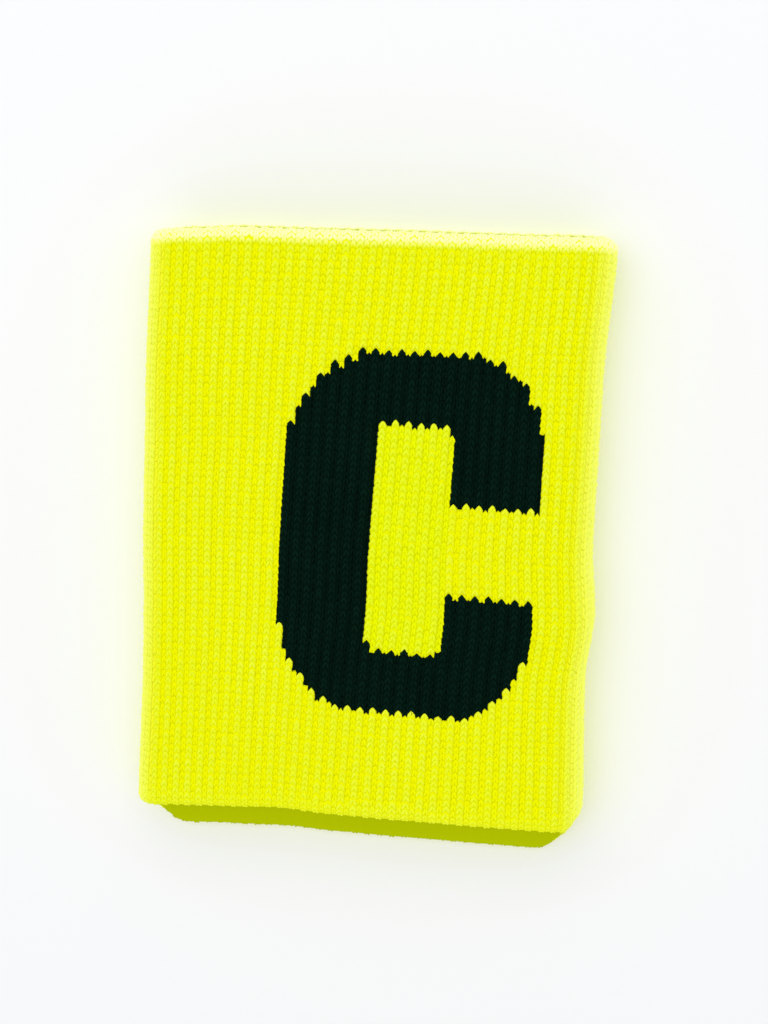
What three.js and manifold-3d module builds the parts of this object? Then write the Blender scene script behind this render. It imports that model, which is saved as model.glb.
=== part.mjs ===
// A captain's armband: a doubled, ribbed knit tube pressed flat, with a black block letter C knitted into its front.
// Millimetres, +Z up. The band lies on its back with the letter facing up, and its top hem is towards +Y.

import * as THREE from "three";
import { mergeVertices } from "three/addons/utils/BufferGeometryUtils.js";
import Module from "manifold-3d";

const wasm = await Module();
wasm.setup();

// The band
const flatWidth = 85; // from fold to fold, over the ribs
const bandHeight = 110.3; // from hem to hem
const layerThickness = 2.1; // one of the two layers of a wall, over its ribs
const hollowDepth = 5.2; // between the front wall and the back wall, where the arm goes in
const backDrop = 6.6; // how much lower the back wall's bottom hem lies than the front wall's
const backReach = 13; // round the tube from a fold, till the back wall has dropped by all of that

// The knit
const ribPitch = 2.38; // from one rib to the next, round the tube
const coursePitch = 1.285; // from one row of stitches to the next
const outerRelief = 0.6; // from the top of a rib to the groove beside it
const innerRelief = 0.3; // the same on the layer that is turned inside
const crestShare = 0.62; // how much of a rib's pitch its raised wale takes
const ribPhase = 0.365; // in ribs, from the left fold to the middle of the first rib
const ribLean = 2.4; // how far the ribs lean to the right at the top hem, mid-front
const courseDroop = 1.3; // how far the rows of stitches sink at the right fold, below mid-height
const droopEnd = 0.78; // share of the height above which the rows of stitches run straight

// The letter, measured along the knit
const letterFromFold = 31.1; // from the left fold to its stem
const letterFromHem = 21.8; // from the bottom hem to its foot
const letterWidth = 47.5;
const letterHeight = 66.8;
const stemWidth = 16.6;
const counterWidth = 14.4; // the opening inside the letter
const upperBow = 12.8; // thickness of the bow above the counter
const lowerBow = 11.6; // thickness of the bow below it
const upperArm = 27; // from the letter's top to the end of its upper arm
const lowerArm = 23.1; // from the letter's foot to the end of its lower arm
const lowerArmShort = 0.9; // how much sooner the lower arm ends than the upper arm
const counterNick = 1.2; // how much the counter's outermost wales are shorter
const toothHeight = 1.15; // the point that a raised wale makes where the colour changes
const edgeStep = 13; // between the points along an edge that follows a wale
const seamGap = 0.3; // between the letter and the yellow knit round it
const slopeGap = 1.5; // how many times seamGap the gap is, measured upright over the sloping points

const cornerSizes = {
  upperLeft: { along: 16.4, up: 20 },
  upperRight: { along: 15.8, up: 16.6 },
  lowerLeft: { along: 15.9, up: 19.2 },
  lowerRight: { along: 14, up: 17.2 },
};

// How the pressed band departs from a straight one. up is a share of bandHeight from the bottom hem, left and right
// are how far that fold stands out, as shares of flatWidth, and crown lifts mid-front, as a share of the depth.
// What happens at a fold fades towards the other one with the power foldReach.
const foldReach = 2;
const foldRows = [
  { up: 0.0, left: 0.002, right: 0.005, crown: 0.0 },
  { up: 0.25, left: -0.003, right: -0.004, crown: 0.035 },
  { up: 0.36, left: -0.002, right: 0.009, crown: 0.03 },
  { up: 0.48, left: 0.002, right: -0.0035, crown: 0.045 },
  { up: 0.75, left: 0.0025, right: -0.001, crown: 0.045 },
  { up: 1.0, left: -0.004, right: 0.015, crown: 0.0 },
];

// across is a share of flatWidth from the left fold, and top and bottom are how far that hem stands out there,
// as shares of bandHeight.
const hemRows = [
  { across: 0.0, top: -0.014, bottom: 0.009 },
  { across: 0.1, top: -0.006, bottom: 0.0 },
  { across: 0.2, top: -0.001, bottom: -0.003 },
  { across: 0.33, top: 0.0, bottom: -0.006 },
  { across: 0.45, top: 0.0015, bottom: -0.002 },
  { across: 0.6, top: 0.003, bottom: 0.0 },
  { across: 0.8, top: 0.004, bottom: 0.0015 },
  { across: 0.92, top: 0.006, bottom: 0.002 },
  { across: 0.96, top: 0.005, bottom: 0.003 },
  { across: 1.0, top: 0.0, bottom: -0.02 },
];

// Soft dents in the front wall: where each lies and how far it reaches, as shares of flatWidth and bandHeight,
// and how deep it is as a share of the band's depth. A negative depth is a swelling.
const dents = [
  { across: 0.16, up: 0.64, wide: 0.2, tall: 0.05, deep: 0.045 },
  { across: 0.14, up: 0.56, wide: 0.16, tall: 0.05, deep: -0.03 },
  { across: 0.95, up: 0.52, wide: 0.12, tall: 0.12, deep: 0.05 },
  { across: 0.9, up: 0.35, wide: 0.1, tall: 0.06, deep: -0.03 },
  { across: 0.33, up: 0.02, wide: 0.08, tall: 0.08, deep: 0.05 },
];

const hemSteps = 3; // round each hem
const innerRows = 2; // rows up the layer turned inside

const wallThickness = 2 * layerThickness;
const flatDepth = hollowDepth + 2 * wallThickness;
const foldRadius = flatDepth / 2;
const halfStraight = flatWidth / 2 - foldRadius;
const ringLength = 4 * halfStraight + 2 * Math.PI * foldRadius;
const ribCount = 2 * Math.round(ringLength / ribPitch / 2);
const ribWidth = ringLength / ribCount;

// A column of a table at a place between its rows, eased so that no row shows as a kink.
function readTable(rows, key, column, place) {
  const after = rows.findIndex((row) => row[key] >= place);
  if (after < 0) return rows[rows.length - 1][column];
  if (after === 0) return rows[0][column];
  const [low, high] = [rows[after - 1], rows[after]];
  const way = THREE.MathUtils.smoothstep(place, low[key], high[key]);
  return THREE.MathUtils.lerp(low[column], high[column], way);
}

// The stadium round the tube: share runs once round from the left fold over the front, and inset is the depth
// below the tops of the ribs.
function ringPoint(share, inset) {
  const radius = foldRadius - inset;
  const quarter = (Math.PI / 2) * foldRadius;
  const along = THREE.MathUtils.euclideanModulo(share, 1) * ringLength;
  const front = along < ringLength / 2;
  const way = front ? along : along - ringLength / 2;
  const side = front ? 1 : -1;
  const turn = (Math.min(way, quarter) - Math.max(0, way - quarter - 2 * halfStraight)) / foldRadius;
  const straight = THREE.MathUtils.clamp(way - quarter, 0, 2 * halfStraight) - halfStraight;
  const falling = way > quarter + halfStraight ? 1 : -1;
  return {
    x: side * (straight + falling * radius * Math.cos(turn)),
    z: foldRadius + side * radius * Math.sin(turn),
  };
}

// How far the back wall has sunk below the front wall at a place round the tube. The top hem isn't moved.
function sunk(share, up) {
  const around = THREE.MathUtils.euclideanModulo(share, 1);
  const fromFold = Math.max(0, Math.min(around - 0.5, 1 - around)) * ringLength;
  return backDrop * THREE.MathUtils.smoothstep(fromFold, 0, backReach) * (1 - up);
}

// A point of the wall, with the lean of the ribs and the band's folds, hems and dents worked in.
function wallPoint(share, up, inset) {
  const front = share >= 0 && share <= 0.5;
  const lean = front ? (ribLean * Math.sin(2 * Math.PI * share) ** 2 * (2 * up - 1)) / ringLength : 0;
  const { x, z } = ringPoint(share + lean, inset);
  const across = THREE.MathUtils.clamp(x / flatWidth + 0.5, 0, 1);
  const lift = z / flatDepth;
  const atFold = (column) => readTable(foldRows, "up", column, up);
  const atHem = (column) => readTable(hemRows, "across", column, across);
  const foldShift = atFold("right") * across ** foldReach - atFold("left") * (1 - across) ** foldReach;
  const hemShift = atHem("top") * up - atHem("bottom") * (1 - up);
  let rise = atFold("crown") * Math.sin(Math.PI * across);
  for (const dent of dents) {
    const reach = ((across - dent.across) / dent.wide) ** 2 + ((up - dent.up) / dent.tall) ** 2;
    rise -= dent.deep * Math.exp(-reach);
  }
  return new THREE.Vector3(
    x + foldShift * flatWidth,
    (up - 0.5 + hemShift) * bandHeight - sunk(share, up),
    z + rise * flatDepth * lift ** 2,
  );
}

// The knit's places round the tube: for each rib the middle of its groove and the two edges of its raised wale.
function ringStops() {
  const stops = [];
  for (let rib = 0; rib < ribCount; rib += 1) {
    for (const { offset, crest } of [
      { offset: -crestShare / 2, crest: true },
      { offset: crestShare / 2, crest: true },
      { offset: 0.5, crest: false },
    ]) {
      stops.push({ share: (rib + offset + ribPhase) / ribCount, crest });
    }
  }
  return stops;
}

// The wall's section from the outer side over the top hem, down the inside and round the bottom hem: how high each
// row is, how deep it lies below the outer crests, and how much a groove sinks there, inwards and in height.
function sectionRows() {
  const rows = [];
  const hemShare = layerThickness / bandHeight;
  const bodyUp = (up) => hemShare + up * (1 - 2 * hemShare);
  for (const row of foldRows) rows.push({ up: bodyUp(row.up), inset: 0, groove: outerRelief, drop: 0 });
  const hem = (atTop) => {
    const steps = [];
    for (let step = 1; step < hemSteps; step += 1) {
      const turn = (Math.PI * step) / hemSteps;
      const relief = THREE.MathUtils.lerp(outerRelief, innerRelief, step / hemSteps);
      const reach = Math.sin(turn) * hemShare;
      steps.push({
        up: atTop ? 1 - hemShare + reach : hemShare - reach,
        inset: layerThickness * (1 - Math.cos(turn)),
        groove: relief * Math.cos(turn),
        drop: (relief * Math.sin(turn) * (atTop ? -1 : 1)) / bandHeight,
      });
    }
    return steps;
  };
  rows.push(...hem(true));
  for (let row = 0; row < innerRows; row += 1) {
    rows.push({ up: bodyUp(1 - row / (innerRows - 1)), inset: wallThickness, groove: -innerRelief, drop: 0 });
  }
  rows.push(...hem(false).reverse());
  return rows;
}

// The triangles between the rows of a grid of points. A grid that is closed in a direction joins its last to its first.
function gridTriangles(across, along, closed) {
  const triangles = [];
  for (let i = 0; i < (closed ? across : across - 1); i += 1) {
    for (let j = 0; j < (closed ? along : along - 1); j += 1) {
      const corner = (di, dj) => ((i + di) % across) * along + ((j + dj) % along);
      triangles.push([corner(0, 0), corner(1, 0), corner(1, 1)], [corner(0, 0), corner(1, 1), corner(0, 1)]);
    }
  }
  return triangles;
}

function solidOf(points, triangles) {
  const mesh = new wasm.Mesh({
    numProp: 3,
    vertProperties: Float32Array.from(points.flatMap((point) => point.toArray())),
    triVerts: Uint32Array.from(triangles.flat()),
  });
  return new wasm.Manifold(mesh);
}

// The whole yellow tube, before the letter's place is taken out of it.
function makeTube() {
  const stops = ringStops();
  const rows = sectionRows();
  const points = stops.flatMap(({ share, crest }) =>
    rows.map((row) =>
      wallPoint(share, row.up + (crest ? 0 : row.drop), row.inset + (crest ? 0 : row.groove)),
    ),
  );
  return solidOf(points, gridTriangles(stops.length, rows.length, true));
}

// A slab of the front wall between two depths. Its top follows the ribs where ribbed is true.
function makeSlab(top, bottom, ribbed) {
  const stops = ringStops().filter(({ share }) => share > 0.5 / ribCount && share < 0.5 - 0.5 / ribCount);
  const rows = sectionRows().slice(0, foldRows.length);
  const layer = (inset, groove) =>
    stops.flatMap(({ share, crest }) => rows.map((row) => wallPoint(share, row.up, inset + (crest ? 0 : groove))));
  const points = [...layer(top, ribbed ? outerRelief : 0), ...layer(bottom, 0)];
  const size = stops.length * rows.length;
  const upper = gridTriangles(stops.length, rows.length, false);
  const lower = upper.map(([a, b, c]) => [a + size, c + size, b + size]);
  const rim = [];
  const last = rows.length - 1;
  for (let i = 0; i < stops.length; i += 1) rim.push(i * rows.length);
  for (let j = 1; j <= last; j += 1) rim.push((stops.length - 1) * rows.length + j);
  for (let i = stops.length - 2; i >= 0; i -= 1) rim.push(i * rows.length + last);
  for (let j = last - 1; j > 0; j -= 1) rim.push(j);
  const walls = rim.flatMap((here, index) => {
    const next = rim[(index + 1) % rim.length];
    return [
      [here, here + size, next + size],
      [here, next + size, next],
    ];
  });
  return solidOf(points, [...upper, ...lower, ...walls]);
}

// The quarter round of a corner: how far the outline has drawn back at a distance from the letter's side.
function cornerCut(distance, corner) {
  const way = THREE.MathUtils.clamp(1 - distance / corner.along, 0, 1);
  return corner.up * (1 - Math.sqrt(1 - way ** 2));
}

// The letter's colour changes up one wale, in whole rows of stitches, or null beside the letter.
function waleChart(wale) {
  const along = (wale / 2 + ribPhase) * ribWidth - letterFromFold;
  if (along < 0 || along > letterWidth) return null;
  const { upperLeft, upperRight, lowerLeft, lowerRight } = cornerSizes;
  const lowerEnd = letterWidth - lowerArmShort;
  const foot = Math.max(cornerCut(along, lowerLeft), cornerCut(lowerEnd - along, lowerRight));
  const head = letterHeight - Math.max(cornerCut(along, upperLeft), cornerCut(letterWidth - along, upperRight));
  const row = (height) => Math.round((letterFromHem + height) / coursePitch);
  const part = along < stemWidth ? "stem" : along < stemWidth + counterWidth ? "counter" : "arms";
  const wideStep = ribWidth / 2;
  const atLeft = part === "counter" && along < stemWidth + wideStep;
  const atRight = part === "counter" && along > stemWidth + counterWidth - wideStep;
  const floor = lowerBow + (atLeft || atRight ? counterNick : 0);
  const ceiling = letterHeight - upperBow - (atRight ? counterNick : 0);
  return {
    wale,
    part,
    short: along > lowerEnd,
    foot: row(foot),
    head: row(head),
    floor: row(part === "arms" ? lowerArm : floor),
    ceiling: row(part === "arms" ? letterHeight - upperArm : ceiling),
  };
}

function letterChart() {
  const wales = [];
  for (let wale = 0; wale < ribCount; wale += 1) {
    const column = waleChart(wale);
    if (column) wales.push(column);
  }
  return wales;
}

// One edge of the letter from left to right. The letter lies below it where side is 1 and above it where side is -1,
// and every raised wale ends in a point that stands up. grow moves the edge away from the letter, and ends says which
// way the upright edges at its two ends move with it.
function chartEdge(columns, key, side, grow, ends) {
  const points = [];
  const level = (index) => columns[index][key] * coursePitch;
  const shift = (index) => {
    if (index === 0) return ends[0] * grow;
    if (index === columns.length) return ends[1] * grow;
    return -side * Math.sign(level(index) - level(index - 1)) * grow;
  };
  columns.forEach(({ wale }, index) => {
    const raised = wale % 2 === 0;
    const half = ((raised ? crestShare : 1 - crestShare) / 2) * ribWidth;
    const middle = (wale / 2 + ribPhase) * ribWidth;
    const height = level(index) + side * grow * slopeGap;
    const slope = raised && side > 0 ? toothHeight / half : 0;
    const [left, right] = [shift(index), shift(index + 1)];
    points.push([middle - half + left, height + slope * Math.max(0, left)]);
    if (raised) points.push([middle, height + toothHeight]);
    points.push([middle + half + right, height + slope * Math.max(0, -right)]);
  });
  return points;
}

// The letter's outline on the flat front, as points [along the knit, up the knit], anticlockwise.
function letterOutline(grow) {
  const columns = letterChart();
  const counter = columns.filter(({ part }) => part === "counter");
  const arms = columns.filter(({ part }) => part === "arms");
  const lower = columns.filter(({ short }) => !short);
  const lowerArmWales = lower.filter(({ part }) => part === "arms");
  const foot = chartEdge(lower, "foot", -1, grow, [-1, 1]);
  const armTop = chartEdge(lowerArmWales, "floor", 1, grow, [-1, 1]);
  const floor = chartEdge(counter, "floor", 1, grow, [1, -1]);
  const ceiling = chartEdge(counter, "ceiling", -1, grow, [1, -1]);
  const armEnd = chartEdge(arms, "ceiling", -1, grow, [-1, 1]);
  const head = chartEdge(columns, "head", 1, grow, [-1, 1]);
  const corners = [...foot, ...armTop.reverse(), ...floor.reverse(), ...ceiling, ...armEnd, ...head.reverse()];
  const outline = [];
  corners.forEach(([along, height], index) => {
    const [nextAlong, nextHeight] = corners[(index + 1) % corners.length];
    const repeats = Math.hypot(nextAlong - along, nextHeight - height) < 1e-6;
    if (repeats) return;
    const steps = Math.ceil(Math.abs(nextHeight - height) / edgeStep);
    for (let step = 0; step < Math.max(1, steps); step += 1) {
      const way = step / Math.max(1, steps);
      outline.push([THREE.MathUtils.lerp(along, nextAlong, way), THREE.MathUtils.lerp(height, nextHeight, way)]);
    }
  });
  return outline;
}

// Where a point of the knit comes to lie in plan on the front wall.
function onFront([along, height]) {
  const share = along / ringLength;
  const up = height / bandHeight;
  const window = up < droopEnd ? Math.sin((Math.PI * up) / droopEnd) : 0;
  const droop = (courseDroop * Math.cos(2 * Math.PI * share) * window) / bandHeight;
  const { x, y } = wallPoint(share, up + droop, 0);
  return new THREE.Vector2(x, y);
}

// An upright prism on the letter's outline, from mid-depth to well above the ribs.
function letterPrism(grow) {
  const shape = new THREE.Shape(letterOutline(grow).map(onFront));
  const geometry = new THREE.ExtrudeGeometry(shape, { depth: flatDepth, bevelEnabled: false, steps: 1 });
  geometry.translate(0, 0, foldRadius);
  geometry.deleteAttribute("normal");
  geometry.deleteAttribute("uv");
  const merged = mergeVertices(geometry, 1e-5);
  return new wasm.Manifold(
    new wasm.Mesh({
      numProp: 3,
      vertProperties: Float32Array.from(merged.getAttribute("position").array),
      triVerts: Uint32Array.from(merged.getIndex().array),
    }),
  );
}

function meshOf(name, solid, material) {
  const { vertProperties, triVerts } = solid.getMesh();
  const geometry = new THREE.BufferGeometry();
  geometry.setAttribute("position", new THREE.BufferAttribute(new Float32Array(vertProperties), 3));
  geometry.setIndex(new THREE.BufferAttribute(new Uint32Array(triVerts), 1));
  geometry.computeVertexNormals();
  const mesh = new THREE.Mesh(geometry, material);
  mesh.name = name;
  return mesh;
}

const yellowYarn = new THREE.MeshStandardMaterial({ color: "#e8fa14", roughness: 0.85, metalness: 0 });
const blackYarn = new THREE.MeshStandardMaterial({ color: "#04150f", roughness: 0.8, metalness: 0 });

const letterPlace = makeSlab(-layerThickness, layerThickness + seamGap, false).intersect(letterPrism(seamGap));
const knittedBand = meshOf("knitted_band", makeTube().subtract(letterPlace), yellowYarn);
const letterC = meshOf("letter_c", makeSlab(0, layerThickness, true).intersect(letterPrism(0)), blackYarn);

const armband = new THREE.Group();
armband.add(knittedBand, letterC);

// The origin is under the middle of the band, on the surface that it lies on.
const extent = new THREE.Box3().setFromObject(armband);
const middle = extent.getCenter(new THREE.Vector3());
armband.position.set(-middle.x, -middle.y, -extent.min.z);

export default armband;
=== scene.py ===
import math
import bpy
import numpy as np
from mathutils import Matrix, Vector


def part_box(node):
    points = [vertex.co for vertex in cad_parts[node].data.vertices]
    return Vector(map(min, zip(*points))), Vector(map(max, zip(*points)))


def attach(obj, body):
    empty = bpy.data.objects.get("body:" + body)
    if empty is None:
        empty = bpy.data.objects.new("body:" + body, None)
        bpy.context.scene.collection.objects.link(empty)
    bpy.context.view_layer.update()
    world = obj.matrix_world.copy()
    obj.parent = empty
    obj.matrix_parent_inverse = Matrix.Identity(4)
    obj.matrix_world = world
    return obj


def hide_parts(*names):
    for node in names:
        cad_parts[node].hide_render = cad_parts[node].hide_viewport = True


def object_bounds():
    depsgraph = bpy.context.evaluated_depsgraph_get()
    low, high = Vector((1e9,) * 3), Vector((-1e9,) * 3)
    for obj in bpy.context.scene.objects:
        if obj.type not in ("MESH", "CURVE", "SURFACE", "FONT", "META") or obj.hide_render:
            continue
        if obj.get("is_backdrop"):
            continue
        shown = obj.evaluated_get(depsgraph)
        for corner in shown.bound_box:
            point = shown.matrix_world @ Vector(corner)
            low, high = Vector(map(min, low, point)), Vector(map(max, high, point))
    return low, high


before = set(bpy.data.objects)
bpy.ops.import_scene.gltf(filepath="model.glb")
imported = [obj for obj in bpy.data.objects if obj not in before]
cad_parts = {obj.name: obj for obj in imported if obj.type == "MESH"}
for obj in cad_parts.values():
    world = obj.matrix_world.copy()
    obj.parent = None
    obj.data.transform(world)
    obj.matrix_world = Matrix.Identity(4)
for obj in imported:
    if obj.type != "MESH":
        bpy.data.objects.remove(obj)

# A knitted captain's armband: a yellow rib tube knitted double, pressed flat and lying on its back,
# with a black block C knitted into its front. Metres, +Z up, and +Y is towards the band's top hem.
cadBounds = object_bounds()
print("frame loaded")

# The form of the pressed band, the same as the solids'
band = dict(
    flatWidth=0.085,       # from fold to fold
    height=0.1103,         # from hem to hem
    layer=0.0021,          # one of a wall's two layers
    hollow=0.0052,         # between the two walls
    foldReach=2,           # how soon what happens at one fold fades towards the other
    backDrop=0.0066,       # how much lower the back wall's bottom hem lies than the front wall's
    backReach=0.013,       # round the tube from a fold, till the back wall has dropped by all of that
)

knit = dict(
    ribPitch=0.00238,      # round the tube
    coursePitch=0.001285,  # one row of stitches
    crestShare=0.62,       # the raised wale's share of a rib
    ribPhase=0.365,        # in ribs, from the left fold to the first rib
    lean=0.0024,           # how far ribs lean to the right at the top, mid-front
    droop=0.0013,          # how far rows of stitches sink at the right fold
    droopEnd=0.78,         # share of the height above which rows run straight
    seed=7,
)

# The folds and the crown. up is a share of the height, left and right say how far a fold stands out
# there as shares of the flat width, and crown lifts mid-front as a share of the depth.
foldRows = [
    dict(up=0.0, left=0.002, right=0.005, crown=0.0),
    dict(up=0.25, left=-0.003, right=-0.004, crown=0.035),
    dict(up=0.36, left=-0.002, right=0.009, crown=0.03),
    dict(up=0.48, left=0.002, right=-0.0035, crown=0.045),
    dict(up=0.75, left=0.0025, right=-0.001, crown=0.045),
    dict(up=1.0, left=-0.004, right=0.015, crown=0.0),
]

# The hems. across is a share of the flat width, and top and bottom say how far that hem stands out,
# as shares of the height.
hemRows = [
    dict(across=0.0, top=-0.014, bottom=0.009),
    dict(across=0.1, top=-0.006, bottom=0.0),
    dict(across=0.2, top=-0.001, bottom=-0.003),
    dict(across=0.33, top=0.0, bottom=-0.006),
    dict(across=0.45, top=0.0015, bottom=-0.002),
    dict(across=0.6, top=0.003, bottom=0.0),
    dict(across=0.8, top=0.004, bottom=0.0015),
    dict(across=0.92, top=0.006, bottom=0.002),
    dict(across=0.96, top=0.005, bottom=0.003),
    dict(across=1.0, top=0.0, bottom=-0.02),
]

# Soft dents of the front wall, as shares of the width, height and depth, and a negative depth swells
dents = [
    dict(across=0.16, up=0.64, wide=0.2, tall=0.05, deep=0.045),
    dict(across=0.14, up=0.56, wide=0.16, tall=0.05, deep=-0.03),
    dict(across=0.95, up=0.52, wide=0.12, tall=0.12, deep=0.05),
    dict(across=0.9, up=0.35, wide=0.1, tall=0.06, deep=-0.03),
    dict(across=0.33, up=0.02, wide=0.08, tall=0.08, deep=0.05),
]

flatDepth = band["hollow"] + 4 * band["layer"]
foldRadius = flatDepth / 2
halfStraight = band["flatWidth"] / 2 - foldRadius
ringLength = 4 * halfStraight + 2 * math.pi * foldRadius
ribCount = 2 * round(ringLength / knit["ribPitch"] / 2)
ribWidth = ringLength / ribCount
draws = np.random.default_rng(knit["seed"])


def readTable(rows, key, column, place):
    # A column at places between its rows: straight from row to row, eased by 3t^2 - 2t^3
    keys = np.array([row[key] for row in rows])
    values = np.array([row[column] for row in rows])
    after = np.clip(np.searchsorted(keys, place), 1, len(keys) - 1)
    way = np.clip((place - keys[after - 1]) / (keys[after] - keys[after - 1]), 0, 1)
    way = way * way * (3 - 2 * way)
    return values[after - 1] + (values[after] - values[after - 1]) * way


def ringPoint(share, inset):
    # Round the stadium: a quarter turn, the straight front, a half turn, the straight back, a quarter
    # turn, by cosine and sine. inset takes the radius down, so it is the depth below the ribs' tops.
    radius = foldRadius - inset
    quarter = math.pi / 2 * foldRadius
    along = np.mod(share, 1) * ringLength
    front = along < ringLength / 2
    way = np.where(front, along, along - ringLength / 2)
    side = np.where(front, 1.0, -1.0)
    turn = (np.minimum(way, quarter) - np.maximum(0, way - quarter - 2 * halfStraight)) / foldRadius
    straight = np.clip(way - quarter, 0, 2 * halfStraight) - halfStraight
    falling = np.where(way > quarter + halfStraight, 1.0, -1.0)
    return side * (straight + falling * radius * np.cos(turn)), foldRadius + side * radius * np.sin(turn)


def sunk(share, up):
    # How far the back wall lies below the front: most at its bottom hem, eased by 3t^2 - 2t^3 to none at
    # the folds, and straight to none at the top
    fromFold = np.maximum(0, np.minimum(share - 0.5, 1 - share)) * ringLength
    way = np.clip(fromFold / band["backReach"], 0, 1)
    return band["backDrop"] * way * way * (3 - 2 * way) * (1 - up)


def bandPoint(share, up, inset):
    # The stadium's point at a height, after the ribs' lean, then moved by the fold, hem and dent tables.
    # The lean is a squared sine across the front. Crown and dents lift by the square of the height
    # in the band, so the back wall stays flat.
    share = np.mod(share, 1)
    lean = knit["lean"] * np.sin(2 * math.pi * share) ** 2 * (2 * up - 1)
    x, z = ringPoint(share + np.where(share <= 0.5, lean, 0) / ringLength, inset)
    across = np.clip(x / band["flatWidth"] + 0.5, 0, 1)
    reach = band["foldReach"]
    foldShift = readTable(foldRows, "up", "right", up) * across ** reach
    foldShift = foldShift - readTable(foldRows, "up", "left", up) * (1 - across) ** reach
    hemShift = readTable(hemRows, "across", "top", across) * up
    hemShift = hemShift - readTable(hemRows, "across", "bottom", across) * (1 - up)
    rise = readTable(foldRows, "up", "crown", up) * np.sin(math.pi * across)
    for dent in dents:
        away = ((across - dent["across"]) / dent["wide"]) ** 2 + ((up - dent["up"]) / dent["tall"]) ** 2
        rise = rise - dent["deep"] * np.exp(-away)
    return np.stack([
        x + foldShift * band["flatWidth"],
        (up - 0.5 + hemShift) * band["height"] - sunk(share, up),
        z + rise * flatDepth * (z / flatDepth) ** 2,
    ], axis=-1)


def knitPoint(rib, course, inset):
    # A place of the knit: up the outside by course, and past a hem round a half circle and along the
    # inside. inset is the depth below the outer face of whichever layer the place is on. Rows droop by a
    # cosine round the tube, most at half of droopEnd.
    radius, height = band["layer"], band["height"]
    share = (rib + knit["ribPhase"]) / ribCount
    path = course * knit["coursePitch"]
    overTop = np.maximum(0, path - (height - radius))
    overBottom = np.maximum(0, radius - path)
    angleTop = np.minimum(overTop / radius, math.pi)
    angleBottom = np.minimum(overBottom / radius, math.pi)
    insideTop = np.maximum(0, overTop - math.pi * radius)
    insideBottom = np.maximum(0, overBottom - math.pi * radius)
    rise = np.clip(path, radius, height - radius) - insideTop + insideBottom
    rise = rise + (radius - inset) * (np.sin(angleTop) - np.sin(angleBottom))
    depth = radius - (radius - inset) * np.cos(angleTop + angleBottom)
    up = rise / height
    window = np.where(up < knit["droopEnd"], np.sin(math.pi * np.clip(up, 0, 1) / knit["droopEnd"]), 0)
    up = up + knit["droop"] * np.cos(2 * math.pi * share) * window / height
    return bandPoint(share, up, depth)


# The letter, measured along the knit. A corner is how far its rounding reaches along and up, and the
# nick is how much sooner the counter ends on its outermost wales.
letter = dict(
    fromFold=0.0311, fromHem=0.0218, width=0.0475, height=0.0668,
    stem=0.0166, counter=0.0144, upperBow=0.0128, lowerBow=0.0116,
    upperArm=0.027, lowerArm=0.0231, lowerArmShort=0.0009, nick=0.0012,
    upperLeft=(0.0164, 0.02), upperRight=(0.0158, 0.0166),
    lowerLeft=(0.0159, 0.0192), lowerRight=(0.014, 0.0172),
)


def cornerCut(distance, corner):
    # A quarter ellipse: what the outline loses at a distance from the letter's side
    along, up = corner
    way = np.clip(1 - distance / along, 0, 1)
    return up * (1 - np.sqrt(1 - way ** 2))


def chartLetter(courses):
    # For each wale of the front and each course, whether its stitch is black, and whether black yarn
    # floats behind: the letter's box less its rounded corners, the counter and the opening on the right
    wale = np.arange(ribCount)
    along = (wale / 2 + knit["ribPhase"]) * ribWidth - letter["fromFold"]
    inside = (along >= 0) & (along <= letter["width"])
    fromRight = letter["width"] - along
    fromEnd = fromRight - letter["lowerArmShort"]
    foot = np.maximum(cornerCut(along, letter["lowerLeft"]), cornerCut(fromEnd, letter["lowerRight"]))
    foot = np.where(fromEnd < 0, letter["height"] - letter["upperArm"], foot)
    head = np.maximum(cornerCut(along, letter["upperLeft"]), cornerCut(fromRight, letter["upperRight"]))
    opened = along >= letter["stem"]
    arms = along >= letter["stem"] + letter["counter"]
    atLeft = opened & (along < letter["stem"] + ribWidth / 2)
    atRight = ~arms & (along > letter["stem"] + letter["counter"] - ribWidth / 2)
    floor = np.where(arms, letter["lowerArm"], letter["lowerBow"] + letter["nick"] * (atLeft | atRight))
    floor = np.where(fromEnd < 0, letter["height"] - letter["upperArm"], floor)
    ceiling = letter["height"] - letter["upperBow"] - letter["nick"] * atRight
    ceiling = np.where(arms, letter["height"] - letter["upperArm"], ceiling)
    rows = lambda height: np.round((letter["fromHem"] + height) / knit["coursePitch"])[:, None]
    body = inside[:, None] & (courses >= rows(foot)) & (courses < rows(letter["height"] - head))
    gap = opened[:, None] & (courses >= rows(floor)) & (courses < rows(ceiling))
    return body & ~gap, body & gap & ~arms[:, None]


# Everything that is knitted shares one list of wales and courses
hemCourses = 11       # rows below the bottom hem's level and above the top hem's, turned inside
backStart = -1        # the back wall's first row of stitches
bodyCourses = round(band["height"] / knit["coursePitch"])
courseList = np.arange(-hemCourses, bodyCourses + hemCourses)
blackMask, floatMask = chartLetter(courseList[None, :])
print("letter charted:", int(blackMask.sum()), "black stitches")


def centreShift():
    # The middle of the frame's box for the band less the middle of its own box in plan, read off a
    # fine grid round the tube and up it
    aroundCount, upCount = 721, 241
    low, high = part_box("knitted_band")
    share, up = np.meshgrid(np.linspace(0, 1, aroundCount), np.linspace(0, 1, upCount))
    plan = bandPoint(share, up, np.zeros_like(up)).reshape(-1, 3)
    mine = (plan.min(0) + plan.max(0)) / 2
    return np.array([(low.x + high.x) / 2 - mine[0], (low.y + high.y) / 2 - mine[1], 0.0])


shiftToFrame = centreShift()


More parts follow.
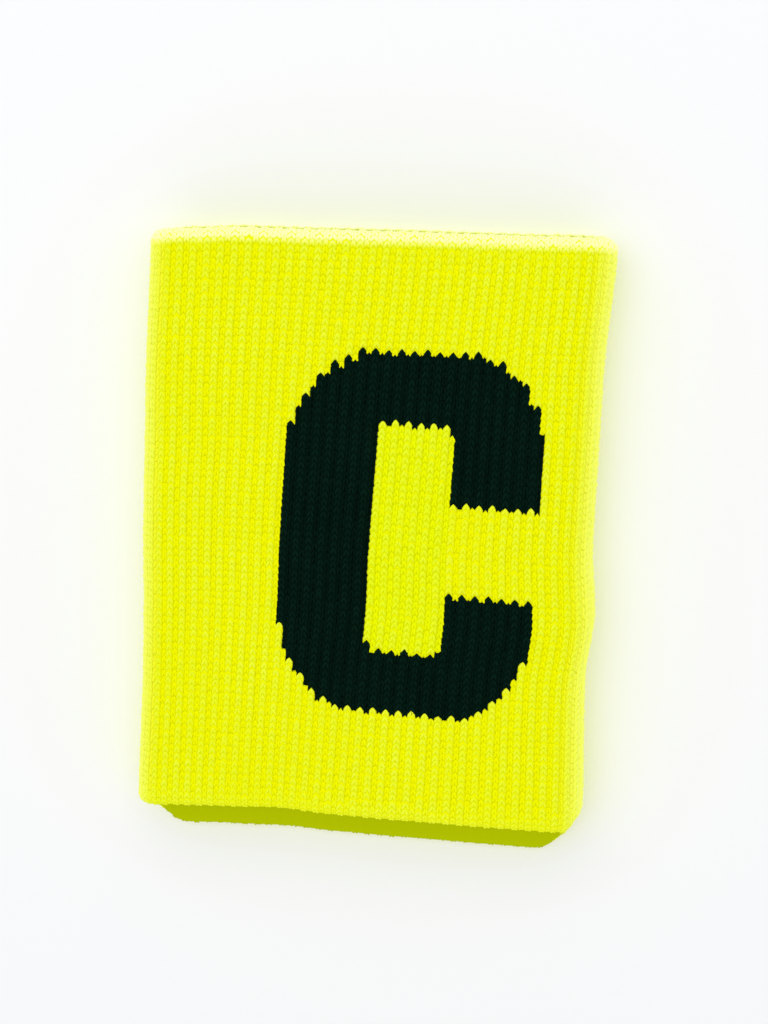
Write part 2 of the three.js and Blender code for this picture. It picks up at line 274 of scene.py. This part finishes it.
def meshPiece(name, points, quads, triangles, marks):
    # One mesh from whole arrays: points, faces of four and of three corners, and for each mark a number
    # at every point
    mesh = bpy.data.meshes.new(name)
    corners = np.concatenate([quads.ravel(), triangles.ravel()]).astype(np.int32)
    sizes = np.concatenate([np.full(len(quads), 4), np.full(len(triangles), 3)]).astype(np.int32)
    starts = np.concatenate([[0], np.cumsum(sizes)[:-1]]).astype(np.int32)
    mesh.vertices.add(len(points))
    mesh.vertices.foreach_set("co", (points + shiftToFrame).astype(np.float32).ravel())
    mesh.loops.add(len(corners))
    mesh.loops.foreach_set("vertex_index", corners)
    mesh.polygons.add(len(sizes))
    mesh.polygons.foreach_set("loop_start", starts)
    mesh.polygons.foreach_set("loop_total", sizes)
    mesh.polygons.foreach_set("use_smooth", np.ones(len(sizes), bool))
    for mark, values in marks.items():
        attribute = mesh.attributes.new(mark, "FLOAT", "POINT")
        attribute.data.foreach_set("value", np.asarray(values, np.float32).ravel())
    mesh.update()
    mesh.validate()
    piece = bpy.data.objects.new(name, mesh)
    bpy.context.scene.collection.objects.link(piece)
    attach(piece, "root")
    return piece


# The cloth under the stitches: both layers of both walls as one closed skin
ground = dict(
    stepsPerRib=6,
    rowPitch=0.0024,
    hemSteps=8,            # round the half circle of a hem
    crestInset=0.00042,    # its raised wales lie this deep below the ribs' tops
    grooveInset=0.00088,
    crestEdge=0.18,        # in ribs from a rib's middle, where its side starts to fall
    grooveEdge=0.46,
    hemStart=0.002,        # along the cloth from a hem's edge, where the grooves start to deepen
    hemFade=0.005,
    hemDepth=0.3,          # share of the grooves' depth that is left at the hems
    foldSheen=0.0085,       # how far round the tube the painted sheen of a fold reaches
    # In layers along the cloth from where a hem starts to turn, where the painted shade of the inside starts,
    # and over how many it grows
    insideTop=dict(start=1.8, fade=0.6),
    insideBottom=dict(start=1.3, fade=0.4),
)


def hemRelief(course):
    # How deep the grooves are: 1 in the body, eased down to hemDepth round both hems
    path = course * knit["coursePitch"]
    radius = band["layer"]
    toBottom = np.abs(path - radius + math.pi / 2 * radius)
    toTop = np.abs(path - band["height"] + radius - math.pi / 2 * radius)
    way = np.clip((np.minimum(toBottom, toTop) - ground["hemStart"]) / ground["hemFade"], 0, 1)
    return ground["hemDepth"] + (1 - ground["hemDepth"]) * way * way * (3 - 2 * way)


def groundInset(rib, course):
    # Depth of the cloth: level on a raised wale, then falling to the groove, eased, and less so at a hem
    away = np.abs(rib - np.round(rib))
    way = np.clip((away - ground["crestEdge"]) / (ground["grooveEdge"] - ground["crestEdge"]), 0, 1)
    fall = (ground["grooveInset"] - ground["crestInset"]) * hemRelief(course)
    return ground["crestInset"] + fall * way * way * (3 - 2 * way)


def foldMark(rib):
    # 1 at the tube's folds, eased to 0 at foldSheen round the tube from them. It places the painted sheen of
    # the folds.
    share = np.mod((rib + knit["ribPhase"]) / ribCount, 0.5)
    way = np.clip(1 - np.minimum(share, 0.5 - share) * ringLength / ground["foldSheen"], 0, 1)
    return way * way * (3 - 2 * way)


def insideMark(course):
    # 0 on the outer layer and 1 on the layer turned inside, changing in a straight line round a hem
    path = course * knit["coursePitch"]
    top, bottom = ground["insideTop"], ground["insideBottom"]
    pastTop = (path - band["height"]) / band["layer"] + 1 - top["start"]
    pastBottom = 1 - path / band["layer"] - bottom["start"]
    return np.clip(np.maximum(pastTop / top["fade"], pastBottom / bottom["fade"]), 0, 1)


def makeGround():
    # A closed grid: ribs round the tube one way, and the section up the outside, over both hems and
    # along the inside the other way
    radius, height, hemSteps = band["layer"], band["height"], ground["hemSteps"]
    straight = height - 2 * radius
    bodySteps = round(straight / ground["rowPitch"])
    outer = np.linspace(radius, height - radius, bodySteps, endpoint=False)
    topHem = height - radius + np.linspace(0, math.pi * radius, hemSteps, endpoint=False)
    inner = height - radius + math.pi * radius + np.linspace(0, straight, bodySteps // 2, endpoint=False)
    bottomHem = radius - np.linspace(math.pi * radius, 0, hemSteps, endpoint=False)
    courses = np.concatenate([outer, topHem, inner, bottomHem]) / knit["coursePitch"]
    ribs = np.arange(ribCount * ground["stepsPerRib"]) / ground["stepsPerRib"]
    rib, course = np.meshgrid(ribs, courses, indexing="ij")
    points = knitPoint(rib, course, groundInset(rib, course))
    wales = np.mod(np.round(rib * 2).astype(int), 2 * ribCount)
    nearest = np.clip(np.round(course - 0.5).astype(int) + hemCourses, 0, len(courseList) - 1)
    floats = np.where(wales < ribCount, floatMask[np.clip(wales, 0, ribCount - 1), nearest], False)
    i, j = np.meshgrid(np.arange(rib.shape[0]), np.arange(rib.shape[1]), indexing="ij")
    right, above = np.mod(i + 1, rib.shape[0]), np.mod(j + 1, rib.shape[1])
    index = lambda a, b: (a * rib.shape[1] + b).ravel()
    quads = np.stack([index(i, j), index(right, j), index(right, above), index(i, above)], axis=1)
    relief = 1 - groundInset(rib, course) / ground["grooveInset"]
    marks = dict(
        floats=floats, raised=relief / 2, tone=np.full_like(rib, 0.5),
        fold=foldMark(rib), inside=insideMark(course),
    )
    return meshPiece("knit_ground", points.reshape(-1, 3), quads, np.zeros((0, 3), int), marks)


# How a stitch is laid. Spans are in half wales from a wale's middle, and the places footAt and tipAt
# in courses from the stitch's own row. A ring's wide and thick are shares of halfWidth and halfThick,
# and its rise is 0 where the yarn lies as low as footDrop takes it and 1 where it has the full lift.
raisedStitch = dict(
    footSpan=0.93, tipSpan=0.0, footAt=0.04, tipAt=1.35,
    halfWidth=0.00039, halfThick=0.00023, lift=0.00011, footDrop=0.0001,
    rings=[
        dict(along=0.2, wide=0.82, thick=0.8, rise=0.3),
        dict(along=0.5, wide=1.0, thick=1.0, rise=0.85),
        dict(along=0.82, wide=0.56, thick=0.85, rise=1.03),
    ],
)
grooveStitch = dict(
    footSpan=0.8, tipSpan=0.12, footAt=-0.76, tipAt=0.62,
    halfWidth=0.0003, halfThick=0.0002, lift=0.00012, footDrop=0.0001,
    rings=[
        dict(along=0.28, wide=0.95, thick=0.95, rise=0.6),
        dict(along=0.76, wide=0.85, thick=0.95, rise=1.1),
    ],
)
tipRise = 0.9         # the rise of a leg's upper point
# Spreads of the random draws
unevenness = dict(
    across=0.05,           # of a leg, in half wales
    up=0.07,               # of a stitch, in courses
    wale=0.08,             # of all of a wale's stitches together, in courses
    size=0.06,             # of a leg's width, as a share
    depth=0.00003,
)
# How strongly the painted highlight of the top hem shows, by layers along the cloth from where the hem starts
# to turn:
# start plus gain times them, and nothing beyond end
hemLitRamp = dict(gain=1.5, start=0.5, end=3.6)


def legPattern(style):
    # One leg of a stitch: a point, rings of four corners set by cosine and sine, a point. Gives each
    # corner's way along, side, height and rise.
    turns = np.arange(4) * math.pi / 2
    along, side, top, rise = [0.0], [0.0], [0.0], [0.0]
    for ring in style["rings"]:
        along += [ring["along"]] * 4
        side += list(np.cos(turns) * ring["wide"])
        top += list(np.sin(turns) * ring["thick"])
        rise += [ring["rise"]] * 4
    along, side, top, rise = along + [1.0], side + [0.0], top + [0.0], rise + [tipRise]
    count = len(style["rings"])
    last = 4 * count + 1
    quads, triangles = [], []
    for corner in range(4):
        after = (corner + 1) % 4
        triangles.append([0, 1 + after, 1 + corner])
        triangles.append([last, last - 4 + corner, last - 4 + after])
        for ring in range(count - 1):
            low, high = 1 + 4 * ring, 5 + 4 * ring
            quads.append([low + corner, low + after, high + after, high + corner])
    return [np.array(a) for a in (along, side, top, rise)], np.array(quads), np.array(triangles)


def layStitches(chosen, raised):
    # Every chosen stitch gets two legs that stand apart at its foot and meet at its tip, like an upturned
    # V. chosen holds the wales and the courses. A leg's corner lies at the pattern's place between foot
    # and tip, plus its side, and at the cloth's depth less the lift and the corner's height.
    style = raisedStitch if raised else grooveStitch
    (along, side, top, rise), quads, triangles = legPattern(style)
    wale, course = chosen
    count = len(wale)
    halfWale = (knit["crestShare"] if raised else 1 - knit["crestShare"]) * ribWidth / 2
    hand = np.array([-1.0, 1.0])
    jitter = lambda key, shape: draws.normal(0, unevenness[key], shape)
    size = 1 + jitter("size", (count, 2, 1))
    span = style["footSpan"] + (style["tipSpan"] - style["footSpan"]) * along
    across = hand[None, :, None] * (span * halfWale + jitter("across", (count, 2, 1)) * halfWale)
    across = across + side * style["halfWidth"] * size
    rib = wale[:, None, None] / 2 + across / ribWidth
    up = course[:, None, None] + style["footAt"] + (style["tipAt"] - style["footAt"]) * along
    shiftOfWale = draws.normal(0, unevenness["wale"], 2 * ribCount)
    up = up + jitter("up", (count, 1, 1)) + shiftOfWale[wale.astype(int)][:, None, None]
    inset = groundInset(rib, up) - style["lift"] + style["footDrop"] * (1 - rise)
    inset = inset - top * style["halfThick"] * size + jitter("depth", (count, 2, 1))
    points = knitPoint(rib, up, inset).reshape(-1, 3)
    legs = np.arange(count * 2)[:, None, None] * len(along)
    shape = (count, 2, len(along))
    # The painted highlight of the top hem, strongest where the hem turns up towards the light
    overTop = (up * knit["coursePitch"] - band["height"] + band["layer"]) / band["layer"]
    hem = np.clip(overTop * hemLitRamp["gain"] + hemLitRamp["start"], 0, 1)
    hem = hem * np.clip(hemLitRamp["end"] - overTop, 0, 1)
    marks = dict(
        raised=np.broadcast_to(np.clip(1 - inset / ground["grooveInset"], 0, 1), shape),
        tone=np.broadcast_to(draws.random((count, 1, 1)), shape),
        hem=np.broadcast_to(hem, shape),
        fold=np.broadcast_to(foldMark(rib), shape),
        inside=np.broadcast_to(insideMark(up), shape),
    )
    return points, (quads[None] + legs).reshape(-1, 4), (triangles[None] + legs).reshape(-1, 3), marks


def joinLaid(parts):
    # Several laid sets of stitches as one set of arrays, with each set's corners counted on from the last
    points, quads, triangles, marks = [], [], [], {}
    start = 0
    for somePoints, someQuads, someTriangles, someMarks in parts:
        points.append(somePoints)
        quads.append(someQuads + start)
        triangles.append(someTriangles + start)
        start += len(somePoints)
        for mark, values in someMarks.items():
            marks.setdefault(mark, []).append(np.asarray(values).ravel())
    return (np.concatenate(points), np.concatenate(quads), np.concatenate(triangles),
            {mark: np.concatenate(values) for mark, values in marks.items()})


def pickStitches(mask, raised):
    # The wales and courses that a mask of the front holds, for raised wales or for those between them
    wale, row = np.nonzero(mask)
    wanted = (wale % 2 == 0) == raised
    return wale[wanted].astype(float), courseList[row[wanted]].astype(float)


def makeFront():
    # The yellow stitches of the front: all that aren't black, with floats 1 on those before black yarn
    pieces = []
    for raised, name in ((True, "front_ribs"), (False, "front_grooves")):
        plain = layStitches(pickStitches(~blackMask & ~floatMask, raised), raised)
        backed = layStitches(pickStitches(floatMask, raised), raised)
        plain[3]["floats"] = np.zeros(len(plain[0]))
        backed[3]["floats"] = np.ones(len(backed[0]))
        pieces.append(meshPiece(name, *joinLaid([plain, backed])))
    return pieces


def makeBack():
    # The same wales half-way round the tube, from just below the bottom hem's edge, where the wall lies
    # on the floor
    pieces = []
    everywhere = np.ones_like(blackMask)
    everywhere[:, courseList < backStart] = False
    for raised, name in ((True, "back_ribs"), (False, "back_grooves")):
        wale, course = pickStitches(everywhere, raised)
        laid = layStitches((wale + ribCount, course), raised)
        laid[3]["floats"] = np.zeros(len(laid[0]))
        pieces.append(meshPiece(name, *laid))
    return pieces


def makeLetterStitches():
    # Every black stitch, first the raised wales' and then those between
    return meshPiece("letter_stitches", *joinLaid([
        layStitches(pickStitches(blackMask, True), True),
        layStitches(pickStitches(blackMask, False), False),
    ]))


# The black yarn that shows between the letter's stitches. Its rises are in courses, at a raised wale's
# middle and at a groove's.
letterGround = dict(lift=0.00012, thickness=0.0004, stepsPerWale=3, crestRise=0.12, grooveRise=-0.7)


def makeLetterGround():
    # The cloth's own surface lifted a little, on every black cell, with a lower face and walls round its
    # edge. Its rows start higher on a raised wale's middle than in a groove, in a straight slope, as the
    # stitches do.
    steps = letterGround["stepsPerWale"]
    wide = knit["crestShare"] / 2
    starts = np.where(np.arange(ribCount) % 2 == 0, -wide, wide - 0.5) + np.arange(ribCount) / 2
    ends = np.append(starts[1:], ribCount / 2 - wide)
    ways = np.arange(steps) / steps
    lines = np.append((starts[:, None] + (ends - starts)[:, None] * ways).ravel(), ends[-1])
    cells = np.repeat(blackMask, steps, axis=0)
    rows = np.append(courseList, courseList[-1] + 1)
    rib, course = np.meshgrid(lines, rows, indexing="ij")
    slope = (letterGround["grooveRise"] - letterGround["crestRise"]) * 2
    course = course + letterGround["crestRise"] + slope * np.abs(rib - np.round(rib))
    inset = groundInset(rib, course) - letterGround["lift"]
    upper = knitPoint(rib, course, inset).reshape(-1, 3)
    lower = knitPoint(rib, course, inset + letterGround["thickness"]).reshape(-1, 3)
    size, columns = len(upper), len(rows)
    i, j = np.nonzero(cells)
    corner = lambda di, dj: (i + di) * columns + j + dj
    a, b, c, d = corner(0, 0), corner(1, 0), corner(1, 1), corner(0, 1)
    faces = [np.stack([a, b, c, d], 1), np.stack([a, d, c, b], 1) + size]
    padded = np.pad(cells, 1)
    sides = (((-1, 0), (d, a)), ((1, 0), (b, c)), ((0, -1), (a, b)), ((0, 1), (c, d)))
    for (di, dj), (start, end) in sides:
        bare = ~padded[i + 1 + di, j + 1 + dj]
        first, second = start[bare], end[bare]
        faces.append(np.stack([first, first + size, second + size, second], 1))
    quads = np.concatenate(faces)
    used, index = np.unique(quads, return_inverse=True)
    points = np.concatenate([upper, lower])[used]
    marks = dict(raised=np.zeros(len(points)), tone=np.full(len(points), 0.5))
    return meshPiece("letter_ground", points, index.reshape(-1, 4), np.zeros((0, 3), int), marks)


knitGround = makeGround()
frontPieces = makeFront()
backPieces = makeBack()
letterStitches = makeLetterStitches()
letterBase = makeLetterGround()
print("knit laid")

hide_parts("knitted_band")
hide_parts("letter_c")


class Wire:
    # A shader socket that can be reckoned with: sums and products of wires and numbers become Math nodes
    def __init__(self, tree, socket=None):
        self.tree, self.socket = tree, socket

    def node(self, kind, settings, sockets, output=0):
        made = self.tree.nodes.new(kind)
        for key, value in settings.items():
            setattr(made, key, value)
        for key, value in sockets.items():
            if isinstance(value, Wire):
                self.tree.links.new(value.socket, made.inputs[key])
            else:
                made.inputs[key].default_value = value
        return Wire(self.tree, made.outputs[output] if made.outputs else None)

    def math(self, operation, first, second):
        return self.node("ShaderNodeMath", dict(operation=operation), {0: first, 1: second})

    def __add__(self, other):
        return self.math("ADD", self, other)

    def __sub__(self, other):
        return self.math("SUBTRACT", self, other)

    def __rsub__(self, other):
        return self.math("SUBTRACT", other, self)

    def __mul__(self, other):
        return self.math("MULTIPLY", self, other)

    __radd__ = __add__
    __rmul__ = __mul__

    def clamped(self):
        return self.node("ShaderNodeMath", dict(operation="MULTIPLY", use_clamp=True), {0: self, 1: 1.0})


def mixColours(wires, share, first, second):
    # first * (1 - share) + second * share
    return wires.node("ShaderNodeMix", dict(data_type="RGBA"), {0: share, 6: first, 7: second}, output=2)


# Colours are linear. A share says how much of a colour its mark brings in where the mark is 1, and lit holds
# the factors of the yarn's height, its own tone and the cloud, and what comes off their sum.
# By height, valley and crest are partly painted light: a painted shade tint on low yarn and a painted highlight
# on high yarn, beside the random tone and cloud.
yellowYarn = dict(
    valley=(0.632, 0.652, 0.0004, 1), crest=(0.575, 0.665, 0.006, 1), crestHighlight=(0.63, 0.72, 0.08, 1),
    backed=(0.53, 0.69, 0.004, 1), speck=(0.34, 0.44, 0.002, 1), hem=(0.87, 0.9, 0.64, 1),
    foldSheen=(0.78, 0.85, 0.28, 1), insideShade=(0.17, 0.26, 0.001, 1),
    # glow is an even emission: partly the yarn's fluorescence, partly painted light that lifts the shade
    # between stitches
    glow=(0.29, 0.295, 0.0, 1), glowStrength=1.0,
    roughness=0.88, sheen=0.0, shine=0.0, roughSpread=0.2,
    fuzzScale=5200, fuzzDepth=0.00006, fuzzStrength=0.5,
    cloudScale=70.0, lit=(1.9, 0.2, 0.3, 0.85), crestHighlightGain=2.4, crestHighlightStart=1.2,
    foldSheenShare=0.85, backedShare=0.35, hemShare=0.85,
    speckScale=900.0, speckGain=5.0, speckStart=2.2, speckShare=0.55,
)
blackYarn = dict(
    # valley and crest: painted shade on low yarn and a painted highlight on the ribs
    valley=(0.0006, 0.006, 0.0037, 1), crest=(0.0026, 0.018, 0.0108, 1),
    roughness=0.9, sheen=0.0, shine=0.02, roughSpread=0.2,
    fuzzScale=5200, fuzzDepth=0.00006, fuzzStrength=0.5,
    cloudScale=90.0, lit=(0.7, 0.25, 0.3, 0.1),
)


def newMaterial(name):
    # A material without nodes, and the wires that add them
    material = bpy.data.materials.new(name)
    material.use_nodes = True
    material.node_tree.nodes.clear()
    return material, Wire(material.node_tree)


def noiseAt(wires, place, scale, detail=2.0):
    # Soft noise from 0 to 1, with about scale waves to a metre
    return wires.node("ShaderNodeTexNoise", {}, {"Vector": place, "Scale": scale, "Detail": detail})


def markOf(wires, mark):
    # The number that a mesh holds at each point under the mark's name
    return wires.node("ShaderNodeAttribute", dict(attribute_name=mark), {}, output="Fac")


def litShare(look, raised, tone, cloud):
    # How much of the crest's colour shows: height, tone and cloud by their factors, less the offset. By height
    # it is painted light, shading the valleys and lighting the crests.
    byHeight, byTone, byCloud, offset = look["lit"]
    return (raised * byHeight + tone * byTone + cloud * byCloud - offset).clamped()


def yarnSurface(material, wires, look, colour, fuzz, **fixed):
    # The shader of both yarns: matt, with the fuzz of its fibres as a bump and as unevenness of its
    # roughness, which goes half of roughSpread to either side
    roughness = fuzz * look["roughSpread"] + (look["roughness"] - look["roughSpread"] / 2)
    bump = wires.node("ShaderNodeBump", {}, {
        "Strength": look["fuzzStrength"], "Distance": look["fuzzDepth"], "Height": fuzz,
    })
    shader = wires.node("ShaderNodeBsdfPrincipled", {}, {
        "Base Color": colour, "Roughness": roughness, "Normal": bump,
        "Sheen Weight": look["sheen"], "Specular IOR Level": look["shine"], **fixed,
    })
    wires.node("ShaderNodeOutputMaterial", {}, {"Surface": shader})
    return material


def yellowMaterial(name, isGround):
    # Valley to crest by height, which paints shade low and highlight high, then a painted highlight on the
    # highest yarn where the cloud is light, a painted sheen at the folds, and painted shade inside. Black yarn
    # behind shows as specks on the ground and as a tinge on a stitch, and a stitch gets a painted highlight on
    # the top hem.
    look = yellowYarn
    material, wires = newMaterial(name)
    place = wires.node("ShaderNodeTexCoord", {}, {}, output="Object")
    fuzz = noiseAt(wires, place, look["fuzzScale"])
    cloud = noiseAt(wires, place, look["cloudScale"])
    raised, tone, floats = (markOf(wires, mark) for mark in ("raised", "tone", "floats"))
    # Valley to crest by height is a painted shade tint low and a painted highlight high
    colour = mixColours(wires, litShare(look, raised, tone, cloud), look["valley"], look["crest"])
    # A painted highlight on the highest yarn where the cloud is light, in place of a sheen
    crestHighlightShare = ((raised * look["crestHighlightGain"] - look["crestHighlightStart"]) * cloud).clamped()
    colour = mixColours(wires, crestHighlightShare, colour, look["crestHighlight"])
    # A painted sheen at the folds, where the yarn turns away
    colour = mixColours(wires, markOf(wires, "fold") * look["foldSheenShare"], colour, look["foldSheen"])
    if isGround:
        speckle = noiseAt(wires, place, look["speckScale"], detail=1.0)
        spots = floats * (speckle * look["speckGain"] - look["speckStart"]).clamped() * look["speckShare"]
        colour = mixColours(wires, spots, colour, look["speck"])
    else:
        colour = mixColours(wires, floats * look["backedShare"], colour, look["backed"])
        # A painted highlight on the top hem
        colour = mixColours(wires, markOf(wires, "hem") * look["hemShare"], colour, look["hem"])
    # Painted shade on the layers turned inside the walls
    colour = mixColours(wires, markOf(wires, "inside"), colour, look["insideShade"])
    # The emission is partly fluorescence and partly painted light that lifts the shade in the seams
    return yarnSurface(material, wires, look, colour, fuzz, **{
        "Emission Color": look["glow"], "Emission Strength": look["glowStrength"],
    })


def blackMaterial(name):
    # Valley to crest by height, tone and cloud. By height it is painted shade on low yarn and a painted
    # highlight on high yarn.
    look = blackYarn
    material, wires = newMaterial(name)
    place = wires.node("ShaderNodeTexCoord", {}, {}, output="Object")
    fuzz = noiseAt(wires, place, look["fuzzScale"])
    cloud = noiseAt(wires, place, look["cloudScale"])
    lit = litShare(look, markOf(wires, "raised"), markOf(wires, "tone"), cloud)
    colour = mixColours(wires, lit, look["valley"], look["crest"])
    return yarnSurface(material, wires, look, colour, fuzz)


stitchMaterial = yellowMaterial("yellow_yarn", False)
groundMaterial = yellowMaterial("yellow_yarn_ground", True)
letterMaterial = blackMaterial("black_yarn")
knitGround.data.materials.append(groundMaterial)
for piece in (*frontPieces, *backPieces):
    piece.data.materials.append(stitchMaterial)
for piece in (letterStitches, letterBase):
    piece.data.materials.append(letterMaterial)
print("yarns dyed")


# The studio: a pale floor, a bright room and one soft light from beyond the top hem
studio = dict(
    floorSize=3.0, floorDrop=0.0003, floorColour=(0.95, 0.955, 0.97, 1),
    roomColour=(1.0, 1.0, 1.0, 1), roomStrength=0.77,
    lightPlace=(-0.12, 0.4, 0.9), lightSize=1.3, lightPower=4.0,
)


def makeStudio():
    # A square floor just below the band, a room of one even light, and a square lamp turned to the origin
    half = studio["floorSize"] / 2
    low = -studio["floorDrop"]
    mesh = bpy.data.meshes.new("floor")
    corners = [(-half, -half, low), (half, -half, low), (half, half, low), (-half, half, low)]
    mesh.from_pydata(corners, [], [(0, 1, 2, 3)])
    floor = bpy.data.objects.new("floor", mesh)
    bpy.context.scene.collection.objects.link(floor)
    material, wires = newMaterial("floor_paper")
    shader = wires.node("ShaderNodeBsdfPrincipled", {}, {
        "Base Color": studio["floorColour"], "Roughness": 0.9, "Specular IOR Level": 0.1,
    })
    wires.node("ShaderNodeOutputMaterial", {}, {"Surface": shader})
    mesh.materials.append(material)
    floor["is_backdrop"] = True
    world = bpy.data.worlds.new("room")
    world.use_nodes = True
    background = world.node_tree.nodes["Background"]
    background.inputs["Color"].default_value = studio["roomColour"]
    background.inputs["Strength"].default_value = studio["roomStrength"]
    bpy.context.scene.world = world
    light = bpy.data.lights.new("soft_light", "AREA")
    light.size, light.energy = studio["lightSize"], studio["lightPower"]
    lamp = bpy.data.objects.new("soft_light", light)
    lamp.location = studio["lightPlace"]
    lamp.rotation_euler = lamp.location.to_track_quat("Z", "Y").to_euler()
    bpy.context.scene.collection.objects.link(lamp)
    bpy.context.scene.view_settings.view_transform = "Standard"


# The camera: it leans from the front wall's own normal towards the right fold and the top hem
view = dict(
    leanRight=math.radians(6.03), leanUp=math.radians(10.1), roll=math.radians(2.16),
    distance=0.399, aim=(0.00296, 0.00299, 0.0068), focalPixels=2141, imageHeight=1024,
)


def makeCamera():
    # Its axes: back along the viewing line by the two leans, right across it, and up, the last two
    # turned by the roll. It stands back from the aim by the distance. The lens is the sensor's width
    # times the focal length over the picture's height, both in pixels.
    right, up = view["leanRight"], view["leanUp"]
    back = np.array([math.sin(right), math.sin(up) * math.cos(right), math.cos(up) * math.cos(right)])
    level = np.cross(np.array([0.0, 1.0, 0.0]), back)
    level = level / np.linalg.norm(level)
    upright = np.cross(back, level)
    sideways = level * math.cos(view["roll"]) + upright * math.sin(view["roll"])
    upwards = upright * math.cos(view["roll"]) - level * math.sin(view["roll"])
    place = np.array(view["aim"]) + shiftToFrame + back * view["distance"]
    data = bpy.data.cameras.new("camera")
    data.sensor_width, data.sensor_fit = 36.0, "AUTO"
    data.lens = view["focalPixels"] / view["imageHeight"] * data.sensor_width
    data.clip_start, data.clip_end = 0.01, 20.0
    camera = bpy.data.objects.new("camera", data)
    camera.matrix_world = Matrix([
        [sideways[0], upwards[0], back[0], place[0]],
        [sideways[1], upwards[1], back[1], place[1]],
        [sideways[2], upwards[2], back[2], place[2]],
        [0, 0, 0, 1],
    ])
    bpy.context.scene.collection.objects.link(camera)
    bpy.context.scene.camera = camera


makeStudio()
makeCamera()
print("studio lit")

measured = dict(cad=[list(corner) for corner in cadBounds], visual=[list(corner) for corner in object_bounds()])
